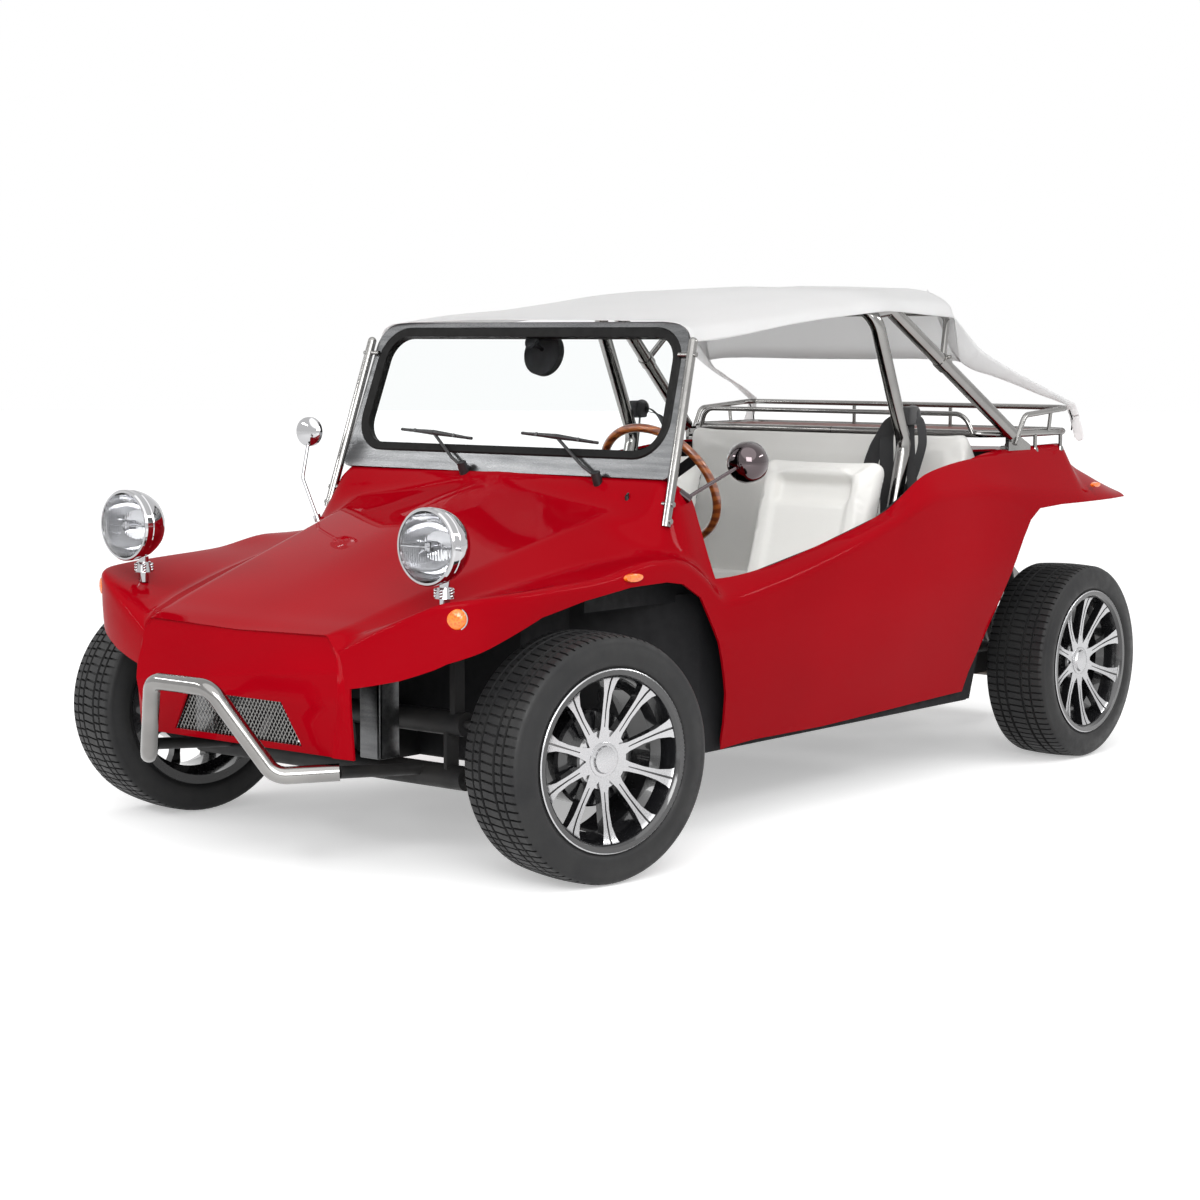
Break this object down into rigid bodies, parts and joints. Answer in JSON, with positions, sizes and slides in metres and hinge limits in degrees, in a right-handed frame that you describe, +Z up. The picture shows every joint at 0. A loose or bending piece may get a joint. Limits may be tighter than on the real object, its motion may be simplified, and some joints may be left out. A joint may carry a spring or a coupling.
{
  "type": "dune buggy",
  "caption": "Open four-seat dune buggy with a one-piece glass-fibre body, round lamps on the mudguards, roll cage, luggage rack and white canopy.",
  "frame": {"origin": "on the ground at the middle of the wheelbase, on the car's centre plane", "axes": "+Z up, the front of the car faces -Y, +X is the car's left"},
  "size_m": [1.776, 3.71, 1.46],
  "materials": {
    "red_gelcoat": "high gloss",
    "black_inner": "satin",
    "chassis_black": "satin",
    "stainless": "polished",
    "screen_silver": "satin",
    "black_rubber": "matte",
    "clear_glass": "clear",
    "chrome": "polished",
    "lamp_glass": "clear",
    "amber_lens": "glossy",
    "red_lens": "glossy",
    "white_vinyl": "satin",
    "canopy_vinyl": "satin",
    "belt_webbing": "matte",
    "dark_wood": "satin",
    "rim_wood": "varnished",
    "tyre_rubber": "matte",
    "alloy_black": "gloss black with machined faces",
    "cast_alloy": "cast",
    "black_steel": "satin"
  },
  "bodies": {
    "chassis": {"body_shell": "red_gelcoat", "cockpit_tub": "black_inner", "floor_pan": "chassis_black", "front_axle": "chassis_black", "grille_mesh": "stainless", "bumper_bar": "stainless", "windscreen_frame": "screen_silver", "windscreen_seal": "black_rubber", "windscreen_glass": "clear_glass", "windscreen_stays": "stainless", "wipers": "black_steel", "interior_mirror": "black_inner", "door_mirrors": "chrome", "headlamps": "chrome", "headlamp_lenses": "lamp_glass", "marker_lamps": "amber_lens", "tail_lamps": "red_lens", "roll_cage": "stainless", "canopy_bow": "stainless", "canopy": "canopy_vinyl", "luggage_rack": "stainless", "rack_tray": "dark_wood", "seat_left": "white_vinyl", "seat_right": "white_vinyl", "seat_frames": "chassis_black", "rear_bench": "white_vinyl", "seat_belts": "belt_webbing", "dashboard": "black_inner", "levers": "black_steel", "steering_column": "black_steel", "gearbox": "cast_alloy", "rear_suspension": "chassis_black", "engine": "cast_alloy", "exhaust": "black_steel"},
    "steering_wheel": {"steering_wheel": "rim_wood"},
    "knuckle_left": {"knuckle_left": "chassis_black"},
    "knuckle_right": {"knuckle_right": "chassis_black"},
    "wheel_front_left": {"tyre_front_left": "tyre_rubber", "rim_front_left": "alloy_black"},
    "wheel_rear_left": {"tyre_rear_left": "tyre_rubber", "rim_rear_left": "alloy_black"},
    "wheel_front_right": {"tyre_front_right": "tyre_rubber", "rim_front_right": "alloy_black"},
    "wheel_rear_right": {"tyre_rear_right": "tyre_rubber", "rim_rear_right": "alloy_black"}
  },
  "joints": [
    {"name": "steer_left", "type": "hinge", "parent": "chassis", "child": "knuckle_left", "pos_m": [0.65, -1.19, 0.3], "axis": [0, 0, 1], "range_deg": [-18.5, 41.5]},
    {"name": "steer_right", "type": "hinge", "parent": "chassis", "child": "knuckle_right", "pos_m": [-0.65, -1.19, 0.3], "axis": [0, 0, 1], "range_deg": [-18.5, 41.5]},
    {"name": "steering_wheel_turn", "type": "hinge", "parent": "chassis", "child": "steering_wheel", "pos_m": [0.33, -0.412, 0.901], "axis": [0, 0.8625, 0.506], "range_deg": [-259, 581]},
    {"name": "wheel_front_left_spin", "type": "hinge", "parent": "knuckle_left", "child": "wheel_front_left", "pos_m": [0.73231, -1.20675, 0.3], "axis": [0.9799, -0.1994, 0], "continuous": true},
    {"name": "wheel_rear_left_spin", "type": "hinge", "parent": "chassis", "child": "wheel_rear_left", "pos_m": [0.669, 1.2, 0.3], "axis": [1, 0, 0], "continuous": true},
    {"name": "wheel_front_right_spin", "type": "hinge", "parent": "knuckle_right", "child": "wheel_front_right", "pos_m": [-0.73231, -1.17325, 0.3], "axis": [0.9799, -0.1994, 0], "continuous": true},
    {"name": "wheel_rear_right_spin", "type": "hinge", "parent": "chassis", "child": "wheel_rear_right", "pos_m": [-0.669, 1.2, 0.3], "axis": [1, 0, 0], "continuous": true}
  ],
  "couplings": [
    {"joint": "steer_right", "follows": "steer_left", "ratio": 1},
    {"joint": "steering_wheel_turn", "follows": "steer_left", "ratio": 14}
  ]
}
